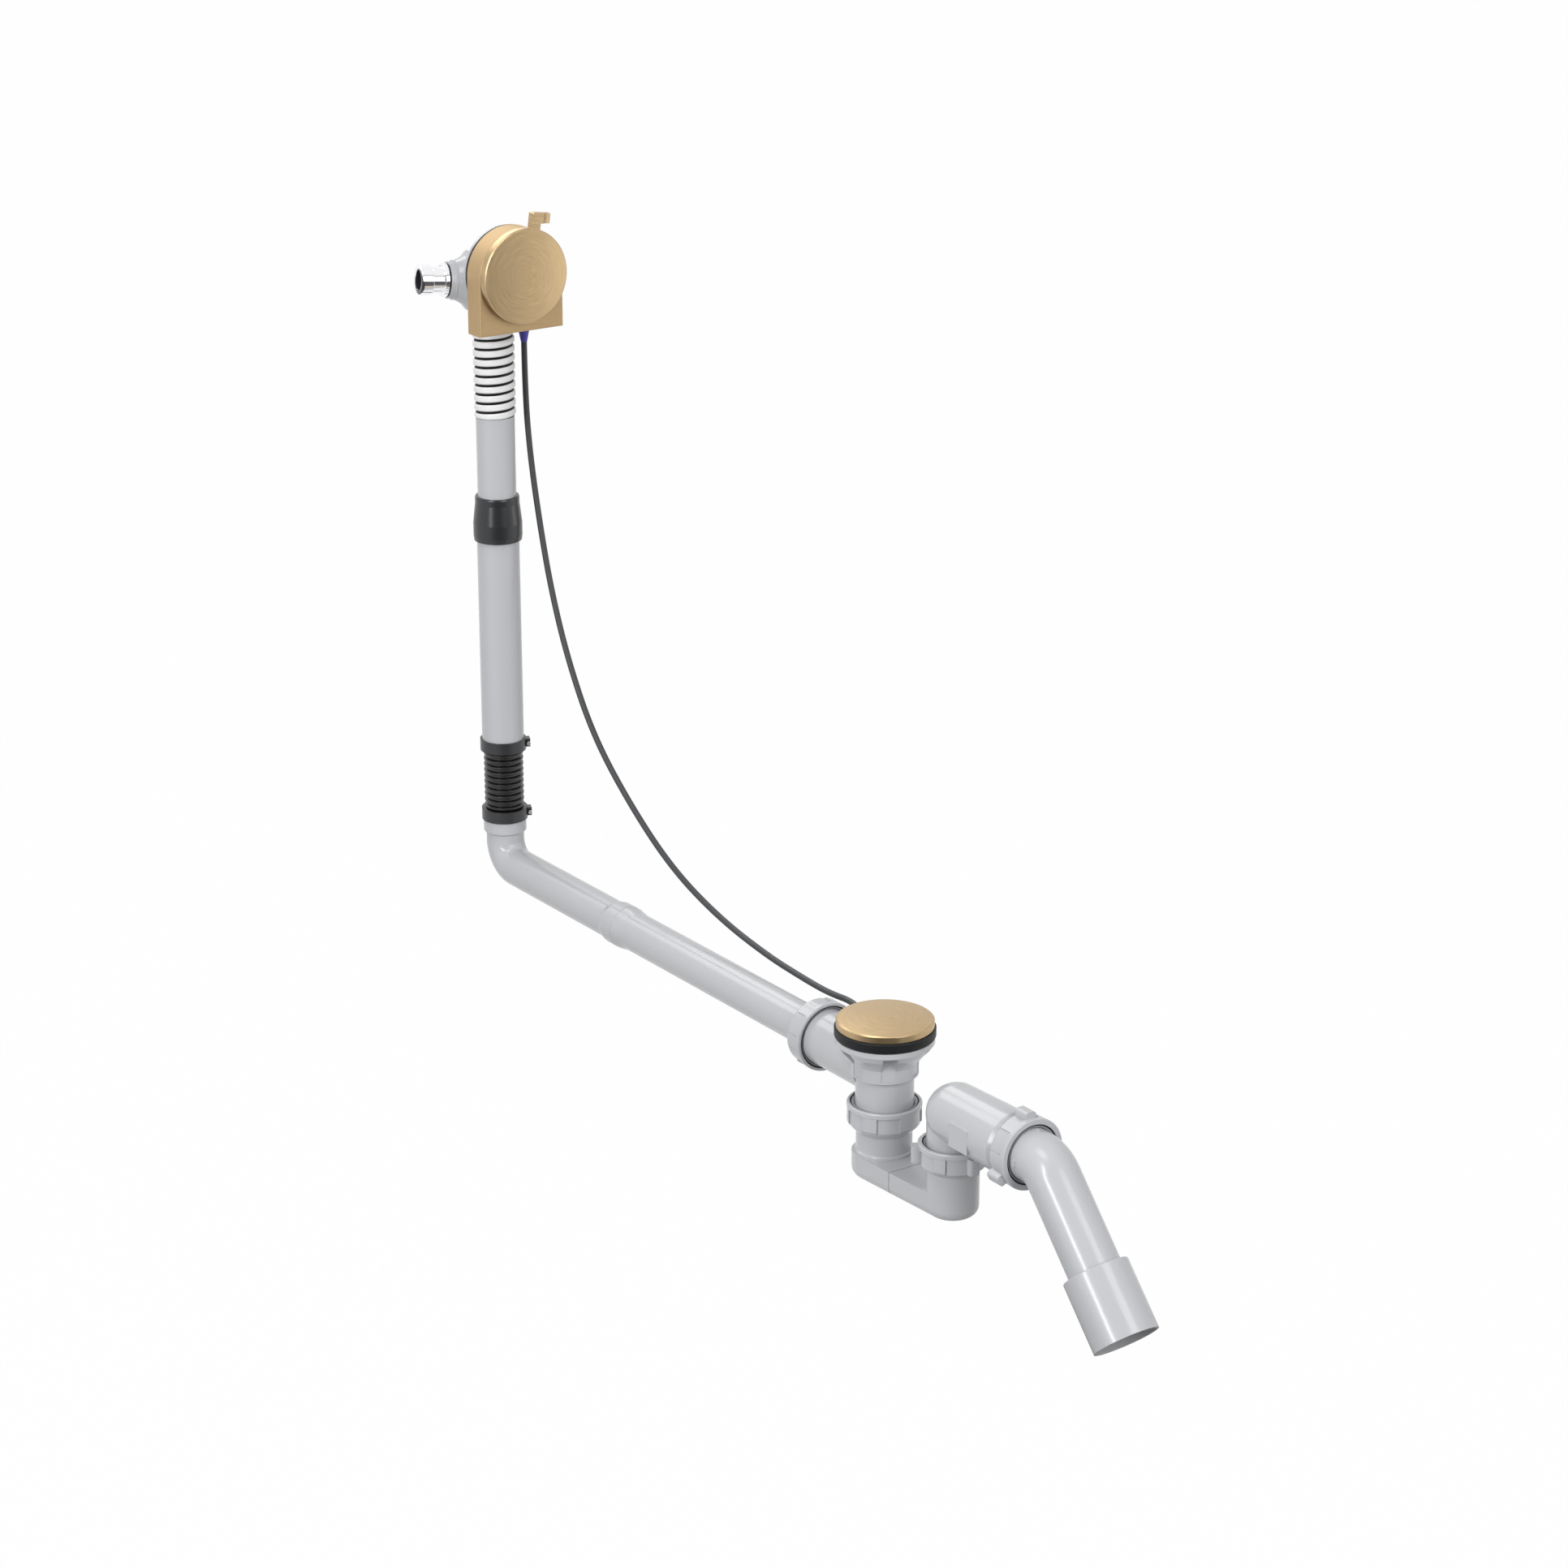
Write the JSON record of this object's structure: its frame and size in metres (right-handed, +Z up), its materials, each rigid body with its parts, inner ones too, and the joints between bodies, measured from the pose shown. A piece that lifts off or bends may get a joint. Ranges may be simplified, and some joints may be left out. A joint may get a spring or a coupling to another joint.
{
  "type": "bath waste and overflow",
  "caption": "Bath filler with waste and overflow: dial head on a riser, sloping overflow pipe, cable-lifted plug, low trap and angled outlet.",
  "frame": {"origin": "on the waste axis, in the plane where the bath floor rests on the bath seal", "axes": "+Z up along the waste axis, +X from the overflow riser towards the waste and outlet, +Y behind the overflow pipe, on the cable's side"},
  "size_m": [0.8699, 0.1063, 0.6887],
  "materials": {
    "brushed_brass": "brushed, pale bronze tone",
    "grey_plastic": "moulded, fine satin",
    "slip_plastic": "moulded, satin",
    "black_rubber": "satin rubber",
    "black_plastic": "moulded, satin",
    "hose_black": "matt",
    "hose_white": "smooth",
    "violet_plastic": "smooth",
    "cable_sheath": "smooth extruded sheath",
    "pale_plastic": "moulded",
    "chrome_brass": "polished",
    "steel": "bright"
  },
  "bodies": {
    "fixed": {"side_nut": "grey_plastic", "side_seal": "black_rubber", "side_slip_ring": "slip_plastic", "bath_seal": "black_rubber", "waste_body": "grey_plastic", "valve_flange": "steel", "guide_cross": "pale_plastic", "cable_guide": "pale_plastic", "waste_ferrule": "black_plastic", "head_ferrule": "violet_plastic", "bowden_cable": "cable_sheath", "overflow_pipe": "grey_plastic", "joint_seal": "black_rubber", "overflow_elbow": "grey_plastic", "riser_bellows": "black_rubber", "clamp_screws": "steel", "lower_tube": "grey_plastic", "riser_collar": "black_plastic", "upper_pipe": "grey_plastic", "hose_tube": "hose_black", "hose_rib": "hose_white", "overflow_body": "grey_plastic", "core_wire": "steel", "wall_seal": "black_rubber", "rosette_housing": "brushed_brass", "fixing_screws": "steel", "inlet_nipple": "chrome_brass", "inlet_washer": "black_rubber", "clamp_lower": "black_plastic", "clamp_upper": "black_plastic"},
    "dial": {"control_dial": "brushed_brass", "dial_shaft": "chrome_brass", "cable_drum": "pale_plastic", "drum_clip": "steel", "dial_grub_screw": "steel", "shaft_seal": "black_rubber"},
    "plug": {"plug_cap": "brushed_brass", "plug_seal": "black_rubber", "plug_stem": "steel", "stem_locknut": "steel", "lift_plunger": "pale_plastic"},
    "trap": {"trap_inlet_half": "grey_plastic", "trap_outlet_half": "grey_plastic", "main_nut": "grey_plastic", "main_seal": "black_rubber", "main_slip_ring": "slip_plastic", "trap_nut": "grey_plastic", "trap_seal": "black_rubber", "trap_slip_ring": "slip_plastic"},
    "elbow": {"outlet_elbow": "grey_plastic", "outlet_nut": "grey_plastic", "outlet_seal": "black_rubber", "outlet_slip_ring": "slip_plastic"},
    "bend": {"outlet_bend": "grey_plastic", "outlet_sleeve": "grey_plastic"}
  },
  "joints": [
    {"name": "dial_turn", "type": "hinge", "parent": "fixed", "child": "dial", "pos_m": [-0.543, 0, 0.48], "axis": [-1, 0, 0], "range_deg": [0, 90]},
    {"name": "plug_lift", "type": "slide", "parent": "fixed", "child": "plug", "axis": [0, 0, 1], "range_m": [0, 0.007]},
    {"name": "trap_swivel", "type": "hinge", "parent": "fixed", "child": "trap", "pos_m": [0, 0, -0.08], "axis": [0, 0, 1], "range_deg": [-90, 90]},
    {"name": "elbow_swivel", "type": "hinge", "parent": "trap", "child": "elbow", "pos_m": [0.085, 0, -0.08], "axis": [0, 0, 1], "range_deg": [-45, 45]},
    {"name": "bend_swivel", "type": "hinge", "parent": "elbow", "child": "bend", "pos_m": [0.178, 0, -0.039], "axis": [1, 0, 0], "range_deg": [-90, 90]}
  ],
  "couplings": [
    {"joint": "plug_lift", "follows": "dial_turn", "m_per_rad": 0.004456}
  ]
}
